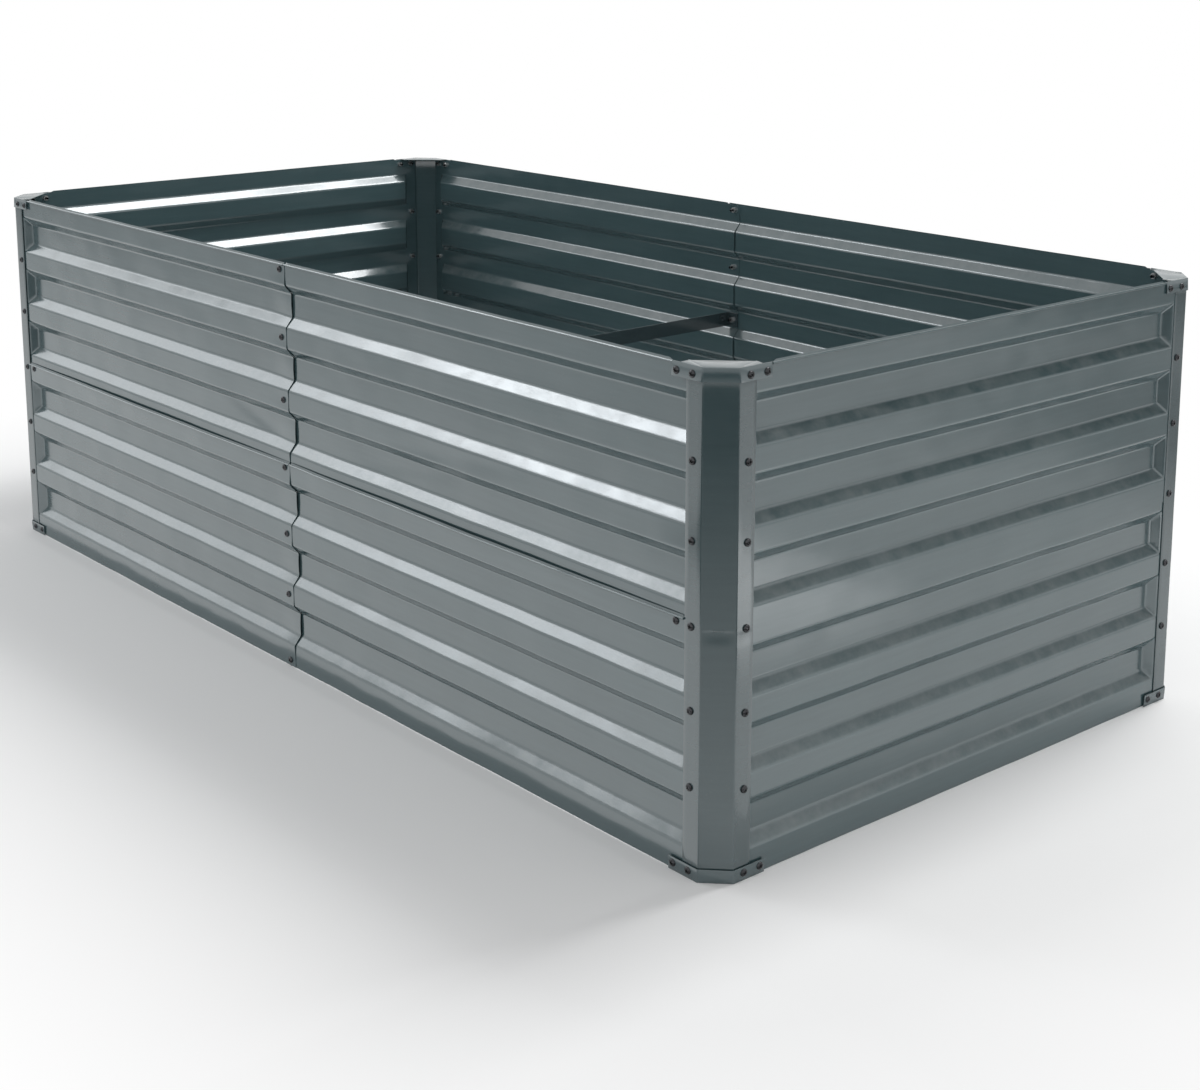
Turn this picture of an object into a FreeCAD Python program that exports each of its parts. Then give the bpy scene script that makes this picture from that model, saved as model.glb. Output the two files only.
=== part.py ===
"""Raised garden bed: twelve ribbed steel panels bolted to four folded corner posts.

Units are millimetres and +Z is up. The origin is on the ground, under the middle of the bed.
The long walls run along X and the end walls along Y.

Every wall is drawn in its own frame: x runs to the right along the wall, as seen from outside,
from the sharp corner that the folded corner cuts off; y runs into the bed from the outer face of
the corner brackets; z is up. A corner is drawn in the same frame, with both walls along its axes.
"""
import FreeCAD, Part
import math
import os

import Sketcher

# name, value in millimetres, what it measures
SIZES = (
    ("bed_length", 1829, "over the outer faces of the corner brackets"),
    ("bed_width", 914, "over the outer faces of the corner brackets"),
    ("bed_height", 610, "from the ground to the top of the corner caps"),
    ("panel_gauge", 0.6, "thickness of a ribbed panel"),
    ("post_gauge", 0.8, "thickness of a corner post"),
    ("bracket_gauge", 1, "thickness of a corner cap or foot"),
    ("panel_end", 34, "from the sharp corner to the end of a panel"),
    ("panel_lap", 18, "upper panel behind lower panel"),
    ("seam_lap", 26, "left panel over right panel"),
    ("rib_first", 65, "bottom edge of a panel to its first rib"),
    ("rib_pitch", 93, "rib to rib"),
    ("rib_mouth", 62, "width of a rib at the outer face"),
    ("rib_floor", 34, "width of the flat floor of a rib"),
    ("rib_depth", 12.5, "depth of a rib"),
    ("rib_end", 57, "from the sharp corner to the closed end of a rib"),
    ("rib_end_run", 10, "width of the slope at a rib's closed end"),
    ("rim_bead", 1, "radius of the rolled top edge of a panel"),
    ("chamfer_leg", 29.5, "from the sharp corner to the fold of the corner"),
    ("flange_leg", 56, "from the sharp corner to the free edge of a post"),
    ("arm_leg", 79, "from the sharp corner to the end of a bracket"),
    ("bend_radius", 1.6, "inside radius of a fold"),
    ("skirt_height", 17, "height of a corner cap or foot"),
    ("plate_leg", 66, "reach of a bracket's flat plate along a wall"),
    ("plate_depth", 14, "width of the plate's straight ends"),
    ("screw_flange", 45, "from the sharp corner to the post's bolts"),
    ("screw_arm", 71, "from the sharp corner to the outer bolts"),
    ("screw_edge", 10, "from the ground or the top to the nearest bolt"),
    ("screw_lap", 306.5, "from the ground to the bolts through the panels' lap"),
    ("hole_bore", 5.5, "bolt hole"),
    ("head_width", 9.5, "diameter of a bolt's head"),
    ("head_height", 3.2, "height of a bolt's head"),
    ("head_rim", 1.2, "straight side of a bolt's head"),
    ("shank_bore", 5, "diameter of a bolt's shank"),
    ("shank_length", 11, "length of a bolt's shank"),
    ("nut_flats", 8, "nut across its flats"),
    ("nut_height", 4, "height of a nut"),
    ("nut_bore", 5.1, "hole of a nut"),
    ("brace_width", 24, "height of a cross brace and length of its feet"),
    ("brace_gauge", 2, "thickness of a cross brace"),
)
RIBS = 3

# Derived lengths, as expressions on the sheet.
PANEL_HEIGHT = "(Sizes.bed_height / 2 + Sizes.panel_lap / 2 - Sizes.bracket_gauge)"
RIB_RUN = "((Sizes.rib_mouth - Sizes.rib_floor) / 2)"
FOLD_GAIN = f"(Sizes.panel_gauge * tan(atan(Sizes.rib_depth / {RIB_RUN}) / 2))"
END_GAIN = "(Sizes.panel_gauge * tan(atan(Sizes.rib_depth / Sizes.rib_end_run) / 2))"
MIDDLE = "(Sizes.bed_length / 2)"
SEAM_HALF = "(Sizes.seam_lap / 2)"
ROW_BASE = {
    "lower": "Sizes.bracket_gauge",
    "upper": "(Sizes.bed_height / 2 - Sizes.panel_lap / 2)",
}
ROW_TOP_CLEAR = {"lower": "Sizes.flange_leg", "upper": "Sizes.arm_leg"}

# Depth of the middle of a panel's rolled edge behind the panel's outer face.
ROLLED_OUT = "(Sizes.panel_gauge - Sizes.rim_bead)"
ROLLED_IN = "Sizes.rim_bead"

# The walls in order round the bed, each a quarter turn from the one before.
WALLS = ("front", "right", "back", "left")
CORNERS = ("front_left", "front_right", "back_right", "back_left")
CORNER_X = ("-Sizes.bed_length / 2", "Sizes.bed_length / 2",
            "Sizes.bed_length / 2", "-Sizes.bed_length / 2")
CORNER_Y = ("-Sizes.bed_width / 2", "-Sizes.bed_width / 2",
            "Sizes.bed_width / 2", "Sizes.bed_width / 2")
WALL_LENGTH = ("Sizes.bed_length", "Sizes.bed_width", "Sizes.bed_length", "Sizes.bed_width")

# Points closer together than this, in millimetres, count as one.
SAME_POINT = 0.01

ALONG_X = FreeCAD.Rotation(FreeCAD.Vector(0, 1, 0), 90)
ALONG_Y = FreeCAD.Rotation(FreeCAD.Vector(1, 0, 0), -90)

doc = FreeCAD.newDocument("raised_garden_bed")
finished = []


def make_sheet():
    """Write every driving size to a spreadsheet, with its name as the alias."""
    sheet = doc.addObject("Spreadsheet::Sheet", "Sizes")
    for row, (name, value, meaning) in enumerate(SIZES, start=1):
        sheet.set(f"A{row}", name)
        sheet.set(f"B{row}", str(value))
        sheet.set(f"C{row}", meaning)
        sheet.setAlias(f"B{row}", name)
    doc.recompute()
    return sheet


def bind(obj, **expressions):
    """Bind properties to the sheet; place_x, place_y and place_z are the placement's base."""
    for name, expression in expressions.items():
        path = f"Placement.Base.{name[-1]}" if name.startswith("place_") else name
        obj.setExpression(path, expression)


def stand_at_corner(obj, turns):
    """Turn a wall or corner by quarter turns and put its origin at the sharp corner."""
    upright = FreeCAD.Vector(0, 0, 1)
    obj.Placement = FreeCAD.Placement(FreeCAD.Vector(), FreeCAD.Rotation(upright, 90 * turns))
    bind(obj, place_x=CORNER_X[turns], place_y=CORNER_Y[turns])


def finish(obj, label):
    """Name a finished sub-part and keep it for the checks and the export."""
    obj.Label = label
    finished.append(obj)


# ---- bolt positions -------------------------------------------------------------------------

def flat_level(row, step):
    """Height of the flat band above rib number step of a row of panels."""
    return f"({ROW_BASE[row]} + Sizes.rib_first + Sizes.rib_pitch * {step + 0.5})"


LAP_LEVEL = "Sizes.screw_lap"
EDGE_LEVEL = {"lower": "Sizes.screw_edge", "upper": "(Sizes.bed_height - Sizes.screw_edge)"}


def column_levels(row):
    """Heights of the bolts in one column of a row of panels."""
    return [EDGE_LEVEL[row], flat_level(row, 0), flat_level(row, 1), LAP_LEVEL]


ALL_LEVELS = [EDGE_LEVEL["lower"], flat_level("lower", 0), flat_level("lower", 1), LAP_LEVEL,
              flat_level("upper", 0), flat_level("upper", 1), EDGE_LEVEL["upper"]]


# ---- ribbed panels --------------------------------------------------------------------------

def layer_face(layer):
    """Depth of a panel's outer face, with the posts and brackets outside the outermost layer."""
    return f"(Sizes.bracket_gauge + Sizes.post_gauge + Sizes.panel_gauge * {layer})"


def trough(name, span, level, face, gain, end_gain):
    """Tapered trough along a rib: its mouth at the face, and a slope at each closed end.

    gain widens it on every side, and end_gain lengthens it at a closed end.
    """
    start, stop, closed_start, closed_stop = span
    wedge = doc.addObject("Part::Wedge", name)
    start_gain = end_gain if closed_start else "0"
    stop_gain = end_gain if closed_stop else "0"
    start_run = "Sizes.rib_end_run" if closed_start else "0"
    stop_run = "Sizes.rib_end_run" if closed_stop else "0"
    bind(wedge,
         Xmin=f"{start} - {start_gain}", X2min=f"{start} + {start_run} - {start_gain}",
         Xmax=f"{stop} + {stop_gain}", X2max=f"{stop} - {stop_run} + {stop_gain}",
         Ymin=face, Ymax=f"{face} + Sizes.rib_depth",
         Zmin=f"{level} - Sizes.rib_mouth / 2 - {gain}",
         Zmax=f"{level} + Sizes.rib_mouth / 2 + {gain}",
         Z2min=f"{level} - Sizes.rib_floor / 2 - {gain}",
         Z2max=f"{level} + Sizes.rib_floor / 2 + {gain}")
    return wedge


def bolt_hole(name, x, z, face):
    """Hole through one sheet."""
    hole = doc.addObject("Part::Cylinder", name)
    hole.Placement.Rotation = ALONG_Y
    bind(hole, Radius="Sizes.hole_bore / 2", Height="Sizes.panel_gauge + 2",
         place_x=x, place_y=f"{face} - 1", place_z=z)
    return hole


def ribbed_panel(label, turns, row, layer, start, stop, closed, bead, columns):
    """Sheet with pressed ribs, a rolled top edge and bolt holes.

    closed says whether the ribs end in a slope at the start and at the stop; an open rib runs
    out of the panel's cut end. bead is the rolled edge's start, its stop and the depth of its
    middle behind the panel's face. columns are pairs of a bolt column's x and its heights.
    """
    face = layer_face(layer)
    base = ROW_BASE[row]
    nested = layer % 2 == 1 and not (closed[0] and closed[1])
    gain = FOLD_GAIN if nested else "0"

    plate = doc.addObject("Part::Box", f"{label}_plate")
    bind(plate, Length=f"{stop} - {start}", Width="Sizes.panel_gauge", Height=PANEL_HEIGHT,
         place_x=start, place_y=face, place_z=base)
    solids = [plate]
    voids = []

    rim = doc.addObject("Part::Cylinder", f"{label}_rim")
    rim.Placement.Rotation = ALONG_X
    bind(rim, Radius="Sizes.rim_bead", Height=f"{bead[1]} - {bead[0]}", place_x=bead[0],
         place_y=f"{face} + {bead[2]}",
         place_z=f"{base} + {PANEL_HEIGHT} - Sizes.rim_bead")
    solids.append(rim)

    rib_start = "Sizes.rib_end" if closed[0] else start
    rib_stop = f"({WALL_LENGTH[turns]} - Sizes.rib_end)" if closed[1] else stop
    past_start = rib_start if closed[0] else f"({start} - 1)"
    past_stop = rib_stop if closed[1] else f"({stop} + 1)"
    for rib in range(RIBS):
        level = f"({base} + Sizes.rib_first + Sizes.rib_pitch * {rib})"
        solids.append(trough(f"{label}_back_{rib}", (rib_start, rib_stop) + closed, level,
                             f"({face} + Sizes.panel_gauge)", f"({gain} + {FOLD_GAIN})",
                             END_GAIN))
        voids.append(trough(f"{label}_groove_{rib}", (past_start, past_stop) + closed, level,
                            face, gain, "0"))
    for number, (x, levels) in enumerate(columns):
        for step, z in enumerate(levels):
            voids.append(bolt_hole(f"{label}_hole_{number}_{step}", x, z, face))

    pressed = doc.addObject("Part::MultiFuse", f"{label}_pressed")
    pressed.Shapes = solids
    removed = doc.addObject("Part::MultiFuse", f"{label}_removed")
    removed.Shapes = voids
    panel = doc.addObject("Part::Cut", label)
    panel.Base = pressed
    panel.Tool = removed
    stand_at_corner(panel, turns)
    finish(panel, label)


def long_wall(turns):
    """Four panels: the left ones lie over the right ones, the lower ones over the upper ones."""
    wall = WALLS[turns]
    length = WALL_LENGTH[turns]
    for row, first_layer in (("lower", 0), ("upper", 2)):
        levels = column_levels(row)
        outer_levels = [EDGE_LEVEL[row], LAP_LEVEL]
        ribbed_panel(
            f"{wall}_panel_{row}_left", turns, row, first_layer,
            "Sizes.panel_end", f"({MIDDLE} + {SEAM_HALF})", (True, False),
            (f"({ROW_TOP_CLEAR[row]} + 1)", f"({MIDDLE} + {SEAM_HALF})", ROLLED_OUT),
            (("Sizes.screw_flange", levels), ("Sizes.screw_arm", outer_levels), (MIDDLE, levels)))
        ribbed_panel(
            f"{wall}_panel_{row}_right", turns, row, first_layer + 1,
            f"({MIDDLE} - {SEAM_HALF})", f"({length} - Sizes.panel_end)", (False, True),
            (f"({MIDDLE} + {SEAM_HALF} + 1)", f"({length} - {ROW_TOP_CLEAR[row]} - 1)",
             ROLLED_OUT),
            ((f"({length} - Sizes.screw_flange)", levels),
             (f"({length} - Sizes.screw_arm)", outer_levels), (MIDDLE, levels)))


def end_wall(turns):
    """Two panels, the upper one over the lower one."""
    wall = WALLS[turns]
    length = WALL_LENGTH[turns]
    for row, layer, rolled in (("lower", 1, ROLLED_IN), ("upper", 0, ROLLED_OUT)):
        levels = column_levels(row)
        edge_level = [EDGE_LEVEL[row]]
        ribbed_panel(
            f"{wall}_panel_{row}", turns, row, layer,
            "Sizes.panel_end", f"({length} - Sizes.panel_end)", (True, True),
            (f"({ROW_TOP_CLEAR[row]} + 1)", f"({length} - {ROW_TOP_CLEAR[row]} - 1)", rolled),
            (("Sizes.screw_flange", levels), (f"({length} - Sizes.screw_flange)", levels),
             ("Sizes.screw_arm", edge_level), (f"({length} - Sizes.screw_arm)", edge_level)))


# ---- folded corner parts --------------------------------------------------------------------

def plane_of(body, role):
    """One of a body's own origin planes."""
    return next(item for item in body.Origin.OriginFeatures if item.Role == role)


def attach(body, name, role, lift="0"):
    """New sketch on an origin plane of the body, lifted along the plane's normal."""
    sketch = body.newObject("Sketcher::SketchObject", name)
    sketch.AttachmentSupport = [(plane_of(body, role), "")]
    sketch.MapMode = "FlatFace"
    sketch.setExpression("AttachmentOffset.Base.z", lift)
    return sketch


def draw_outline(sketch, points):
    """Closed outline through points, each a pair of expressions from the sketch's origin."""
    count = len(points)
    start = [FreeCAD.Vector(100 + 50 * math.cos(2 * math.pi * step / count),
                            100 + 50 * math.sin(2 * math.pi * step / count), 0)
             for step in range(count)]
    for step in range(count):
        sketch.addGeometry(Part.LineSegment(start[step], start[(step + 1) % count]))
    for step in range(count):
        sketch.addConstraint(Sketcher.Constraint("Coincident", step, 2, (step + 1) % count, 1))
    for step, pair in enumerate(points):
        for kind, expression in zip(("DistanceX", "DistanceY"), pair):
            index = sketch.addConstraint(Sketcher.Constraint(kind, -1, 1, step, 1, 1.0))
            sketch.setExpression(f"Constraints[{index}]", expression)


def draw_holes(sketch, centres, diameter):
    """Circles at centres, each a pair of expressions from the sketch's origin."""
    for number, pair in enumerate(centres):
        middle = FreeCAD.Vector(50, 10 + 20 * number, 0)
        sketch.addGeometry(Part.Circle(middle, FreeCAD.Vector(0, 0, 1), 2))
        for kind, expression in zip(("DistanceX", "DistanceY"), pair):
            index = sketch.addConstraint(Sketcher.Constraint(kind, -1, 1, number, 3, 1.0))
            sketch.setExpression(f"Constraints[{index}]", expression)
        index = sketch.addConstraint(Sketcher.Constraint("Radius", number, 2.0))
        sketch.setExpression(f"Constraints[{index}]", f"{diameter} / 2")


def draw_disc(sketch, diameter):
    """Circle round the sketch's origin."""
    sketch.addGeometry(Part.Circle(FreeCAD.Vector(), FreeCAD.Vector(0, 0, 1), 2))
    sketch.addConstraint(Sketcher.Constraint("Coincident", 0, 3, -1, 1))
    index = sketch.addConstraint(Sketcher.Constraint("Radius", 0, 2.0))
    sketch.setExpression(f"Constraints[{index}]", f"{diameter} / 2")


def pad(body, sketch, length):
    """Solid from a sketch, upwards."""
    feature = body.newObject("PartDesign::Pad", f"{sketch.Name}_pad")
    feature.Profile = sketch
    feature.setExpression("Length", length)
    body.Tip = feature
    return feature


def drill_walls(body, name, legs_and_levels):
    """The same holes through both walls of a corner part."""
    for role in ("XZ_Plane", "YZ_Plane"):
        sketch = attach(body, f"{name}_{role[:2]}", role)
        draw_holes(sketch, legs_and_levels, "Sizes.hole_bore")
        pocket = body.newObject("PartDesign::Pocket", f"{sketch.Name}_pocket")
        pocket.Profile = sketch
        pocket.SideType = "Symmetric"
        pocket.setExpression("Length", "2 * (Sizes.bracket_gauge + Sizes.post_gauge + 1)")
        body.Tip = pocket


def fold_at(depth):
    """Distance from the sharp corner to the fold, on a surface that lies at a depth."""
    return f"(Sizes.chamfer_leg + {depth} * tan(22.5))"


def folded_strip(outer, inner, leg):
    """Outline of a sheet folded twice round the corner, between two depths."""
    return [(leg, outer), (fold_at(outer), outer), (outer, fold_at(outer)), (outer, leg),
            (inner, leg), (inner, fold_at(inner)), (fold_at(inner), inner), (leg, inner)]


def round_folds(body, name, strip, depth, radius, sheet):
    """Round the two upright folds of a strip at one depth."""
    doc.recompute()
    leg = sheet.get("chamfer_leg") + depth * math.tan(math.radians(22.5))
    places = ((leg, depth), (depth, leg))
    edges = []
    for number, edge in enumerate(strip.Shape.Edges, start=1):
        first, last = edge.Vertexes[0].Point, edge.Vertexes[-1].Point
        upright = math.hypot(first.x - last.x, first.y - last.y) < SAME_POINT
        if upright and any(math.hypot(first.x - x, first.y - y) < SAME_POINT
                           for x, y in places):
            edges.append(f"Edge{number}")
    feature = body.newObject("PartDesign::Fillet", name)
    feature.Base = (strip, edges)
    feature.setExpression("Radius", radius)
    body.Tip = feature
    return feature


def corner_post(turns, sheet):
    """Folded post behind the brackets, full height between their plates, with rounded folds."""
    label = f"corner_post_{CORNERS[turns]}"
    body = doc.addObject("PartDesign::Body", label)
    inside = "(Sizes.bracket_gauge + Sizes.post_gauge)"
    section = attach(body, f"{label}_section", "XY_Plane", "Sizes.bracket_gauge")
    draw_outline(section, folded_strip("Sizes.bracket_gauge", inside, "Sizes.flange_leg"))
    strip = pad(body, section, "Sizes.bed_height - 2 * Sizes.bracket_gauge")
    outer_depth = sheet.get("bracket_gauge")
    inner_depth = outer_depth + sheet.get("post_gauge")
    rounded = round_folds(body, f"{label}_outer_fold", strip, outer_depth,
                          "Sizes.bend_radius + Sizes.post_gauge", sheet)
    round_folds(body, f"{label}_inner_fold", rounded, inner_depth, "Sizes.bend_radius", sheet)
    drill_walls(body, f"{label}_holes", [("Sizes.screw_flange", level) for level in ALL_LEVELS])
    stand_at_corner(body, turns)
    finish(body, label)


def corner_bracket(kind, turns):
    """Corner cap or foot: a folded skirt with a flat plate across the corner."""
    label = f"corner_{kind}_{CORNERS[turns]}"
    top = kind == "cap"
    body = doc.addObject("PartDesign::Body", label)
    skirt_base = "Sizes.bed_height - Sizes.skirt_height" if top else "0"
    plate_base = "Sizes.bed_height - Sizes.bracket_gauge" if top else "0"
    skirt = attach(body, f"{label}_skirt", "XY_Plane", skirt_base)
    draw_outline(skirt, folded_strip("0", "Sizes.bracket_gauge", "Sizes.arm_leg"))
    pad(body, skirt, "Sizes.skirt_height")
    plate = attach(body, f"{label}_plate", "XY_Plane", plate_base)
    draw_outline(plate, [("Sizes.plate_leg", "0"), ("Sizes.chamfer_leg", "0"),
                         ("0", "Sizes.chamfer_leg"), ("0", "Sizes.plate_leg"),
                         ("Sizes.plate_depth", "Sizes.plate_leg"),
                         ("Sizes.plate_leg", "Sizes.plate_depth")])
    pad(body, plate, "Sizes.bracket_gauge")
    level = EDGE_LEVEL["upper" if top else "lower"]
    drill_walls(body, f"{label}_holes", [("Sizes.screw_flange", level), ("Sizes.screw_arm", level)])
    stand_at_corner(body, turns)
    finish(body, label)


# ---- cross braces ---------------------------------------------------------------------------

def cross_brace(label, row, stack_layers):
    """Flat bar across the bed, with a foot bolted behind each long wall's middle seam."""
    body = doc.addObject("PartDesign::Body", label)
    seat = layer_face(stack_layers)
    far_seat = f"(Sizes.bed_width - {seat})"
    foot = "Sizes.brace_width"
    web = "Sizes.brace_gauge"
    section = attach(body, f"{label}_section", "XY_Plane",
                     f"{flat_level(row, 0)} - Sizes.brace_width / 2")
    draw_outline(section, [
        ("0", seat), (foot, seat), (foot, f"{seat} + {web}"), (web, f"{seat} + {web}"),
        (web, f"{far_seat} - {web}"), (foot, f"{far_seat} - {web}"), (foot, far_seat),
        ("0", far_seat)])
    pad(body, section, "Sizes.brace_width")
    holes = attach(body, f"{label}_holes", "XZ_Plane")
    draw_holes(holes, [("Sizes.brace_width / 2", flat_level(row, 0))], "Sizes.hole_bore")
    pocket = body.newObject("PartDesign::Pocket", f"{label}_pocket")
    pocket.Profile = holes
    pocket.SideType = "Symmetric"
    pocket.setExpression("Length", "3 * Sizes.bed_width")
    body.Tip = pocket
    bind(body, place_x="-Sizes.brace_width / 2", place_y="-Sizes.bed_width / 2")
    finish(body, label)


# ---- bolts and nuts -------------------------------------------------------------------------

def make_bolt():
    """Pan-head bolt: its seat at the origin and its shank along +Y."""
    body = doc.addObject("PartDesign::Body", "bolt_pattern")
    head = attach(body, "bolt_head", "XZ_Plane")
    draw_disc(head, "Sizes.head_width")
    crown = pad(body, head, "Sizes.head_height")
    doc.recompute()
    rims = [f"Edge{number}" for number, edge in enumerate(crown.Shape.Edges, start=1)
            if edge.BoundBox.YMax < crown.Shape.BoundBox.YMin + SAME_POINT]
    rounded = body.newObject("PartDesign::Fillet", "bolt_crown")
    rounded.Base = (crown, rims)
    rounded.setExpression("Radius", "Sizes.head_height - Sizes.head_rim")
    body.Tip = rounded
    shank = attach(body, "bolt_shank", "XZ_Plane")
    draw_disc(shank, "Sizes.shank_bore")
    pad(body, shank, "Sizes.shank_length").Reversed = True
    return body


def make_nut():
    """Hexagon nut: its seat at the origin, rising along +Y."""
    block = doc.addObject("Part::Prism", "nut_block")
    block.Polygon = 6
    block.Placement.Rotation = ALONG_Y
    bind(block, Circumradius="Sizes.nut_flats / 2 / cos(30)", Height="Sizes.nut_height")
    bore = doc.addObject("Part::Cylinder", "nut_hole")
    bore.Placement.Rotation = ALONG_Y
    bind(bore, Radius="Sizes.nut_bore / 2", Height="Sizes.nut_height + 2", place_y="-1")
    nut = doc.addObject("Part::Cut", "nut_pattern")
    nut.Base = block
    nut.Tool = bore
    return nut


def fastener(name, pattern, x, y, z, mirrored):
    """Copy of a bolt or nut at a place on a wall, or on the wall round the corner."""
    link = doc.addObject("App::Link", name)
    link.LinkedObject = pattern
    if mirrored:
        link.Placement.Rotation = FreeCAD.Rotation(FreeCAD.Vector(0, 0, 1), -90)
        x, y = y, x
    bind(link, place_x=x, place_y=y, place_z=z)
    return link


def group(label, links):
    """One sub-part of many separate solids."""
    compound = doc.addObject("Part::Compound", label)
    compound.Links = links
    finish(compound, label)
    return compound


def on_long_wall(turns, side):
    """Whether the wall that starts or ends at a corner is a long one."""
    wall_turns = (turns + 3) % 4 if side == "end" else turns
    return wall_turns % 2 == 0


def panel_layer(turns, side, row):
    """Layer of a row's panel at a corner, on the wall that starts or ends there."""
    if not on_long_wall(turns, side):
        return 1 if row == "lower" else 0
    return (0 if row == "lower" else 2) + (1 if side == "end" else 0)


def corner_fasteners(turns, bolt, nut):
    """Bolts and nuts of one corner.

    They go down both flanges and through the bracket's arms, and on a long wall one more goes
    through the panels' lap beside the flange.
    """
    corner = CORNERS[turns]
    bolts, nuts = [], []
    for side, mirrored in (("start", False), ("end", True)):
        arm_steps = (0, 3, 6) if on_long_wall(turns, side) else (0, 6)
        spots = [("flange", "Sizes.screw_flange", step, z) for step, z in enumerate(ALL_LEVELS)]
        spots += [("arm", "Sizes.screw_arm", step, ALL_LEVELS[step]) for step in arm_steps]
        for column, x, step, z in spots:
            if step in (0, 6):
                seat = "0"
            elif column == "flange":
                seat = "Sizes.bracket_gauge"
            else:
                seat = layer_face(panel_layer(turns, side, "lower"))
            rows = ("lower",) if step < 3 else ("lower", "upper") if step == 3 else ("upper",)
            inner = layer_face(max(panel_layer(turns, side, row) for row in rows) + 1)
            name = f"{corner}_{side}_{column}_{step}"
            bolts.append(fastener(f"bolt_{name}", bolt, x, seat, z, mirrored))
            nuts.append(fastener(f"nut_{name}", nut, x, inner, z, mirrored))
    for label, links in ((f"corner_bolts_{corner}", bolts), (f"corner_nuts_{corner}", nuts)):
        stand_at_corner(group(label, links), turns)


def seam_fasteners(turns, bolt, nut):
    """Bolts and nuts down the middle seam of a long wall; braces lie under two of the nuts."""
    wall = WALLS[turns]
    bolts, nuts = [], []
    braced = (flat_level("lower", 0), flat_level("upper", 0))
    for step, z in enumerate(ALL_LEVELS):
        first_layer = 0 if step <= 3 else 2
        stack = 2 if step < 3 else 4
        inner = layer_face(stack)
        if z in braced:
            inner = f"({inner} + Sizes.brace_gauge)"
        bolts.append(fastener(f"bolt_{wall}_seam_{step}", bolt, MIDDLE,
                              layer_face(first_layer), z, False))
        nuts.append(fastener(f"nut_{wall}_seam_{step}", nut, MIDDLE, inner, z, False))
    for label, links in ((f"seam_bolts_{wall}", bolts), (f"seam_nuts_{wall}", nuts)):
        stand_at_corner(group(label, links), turns)


# ---- build, check and write -----------------------------------------------------------------

def check_document():
    """Stop if anything failed to compute or a sub-part has no valid shape."""
    for obj in doc.Objects:
        if "Invalid" in obj.State or "Error" in obj.State:
            raise RuntimeError(f"{obj.Label} failed: {obj.State}")
    for obj in finished:
        if obj.Shape.isNull() or not obj.Shape.isValid():
            raise RuntimeError(f"{obj.Label} has no valid shape")


def write_parts():
    """Write each sub-part to its own file, and print its size."""
    os.makedirs("parts", exist_ok=True)
    for obj in finished:
        box = obj.Shape.BoundBox
        obj.Shape.exportStep(f"parts/{obj.Label}.step")
        print(f"{obj.Label}: {len(obj.Shape.Solids)} solids, {obj.Shape.Volume:.0f} mm3,"
              f" x {box.XMin:.1f}..{box.XMax:.1f} y {box.YMin:.1f}..{box.YMax:.1f}"
              f" z {box.ZMin:.1f}..{box.ZMax:.1f}")


def main():
    sheet = make_sheet()
    for turns in (0, 2):
        long_wall(turns)
    for turns in (1, 3):
        end_wall(turns)
    for turns in range(4):
        corner_post(turns, sheet)
        corner_bracket("cap", turns)
        corner_bracket("foot", turns)
    cross_brace("cross_brace_upper", "upper", 4)
    cross_brace("cross_brace_lower", "lower", 2)
    bolt = make_bolt()
    nut = make_nut()
    for turns in range(4):
        corner_fasteners(turns, bolt, nut)
    for turns in (0, 2):
        seam_fasteners(turns, bolt, nut)
    doc.recompute()
    check_document()
    write_parts()


main()
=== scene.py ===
"""Dresses the raised garden bed: ribbed coated panels, corner posts, caps, feet and screws,
built round the fixed frame, in metres, with a studio floor, lights and a camera."""

import contextlib
import math
import random

import bmesh
import bpy
from mathutils import Matrix, Vector


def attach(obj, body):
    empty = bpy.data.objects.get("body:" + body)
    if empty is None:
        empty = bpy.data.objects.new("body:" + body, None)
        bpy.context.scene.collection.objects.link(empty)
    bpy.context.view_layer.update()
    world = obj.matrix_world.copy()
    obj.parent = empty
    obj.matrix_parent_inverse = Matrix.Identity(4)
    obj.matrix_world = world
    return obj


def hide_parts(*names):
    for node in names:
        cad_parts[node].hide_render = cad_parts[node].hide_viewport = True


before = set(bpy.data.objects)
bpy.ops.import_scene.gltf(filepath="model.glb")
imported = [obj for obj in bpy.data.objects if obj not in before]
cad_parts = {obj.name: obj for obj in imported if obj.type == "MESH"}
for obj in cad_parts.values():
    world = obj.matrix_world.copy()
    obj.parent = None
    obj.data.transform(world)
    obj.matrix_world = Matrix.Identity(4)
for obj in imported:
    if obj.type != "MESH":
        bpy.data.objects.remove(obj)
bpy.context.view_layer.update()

bl_info = {
    "name": "Raised Garden Bed",
    "version": (1, 0, 0),
    "blender": (4, 5, 0),
    "location": "View3D > Sidebar > Garden Bed",
    "description": "Builds a bolted garden bed of ribbed, coated steel sheet",
    "category": "Add Mesh",
}

MM = 0.001

BED_LENGTH = 1829 * MM
BED_WIDTH = 914 * MM
BED_HEIGHT = 610 * MM

# Each wall stands at its own left end, seen from outside: x runs right, y runs inwards.
WALLS = {
    "front": (-BED_LENGTH / 2, -BED_WIDTH / 2, 0),
    "right": (BED_LENGTH / 2, -BED_WIDTH / 2, 90),
    "back": (BED_LENGTH / 2, BED_WIDTH / 2, 180),
    "left": (-BED_LENGTH / 2, BED_WIDTH / 2, 270),
}
# Each corner belongs to the wall that starts there, and to the one that ends there.
CORNERS = {
    "front_right": ("front", "right"),
    "back_right": ("right", "back"),
    "back_left": ("back", "left"),
    "front_left": ("left", "front"),
}

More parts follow.
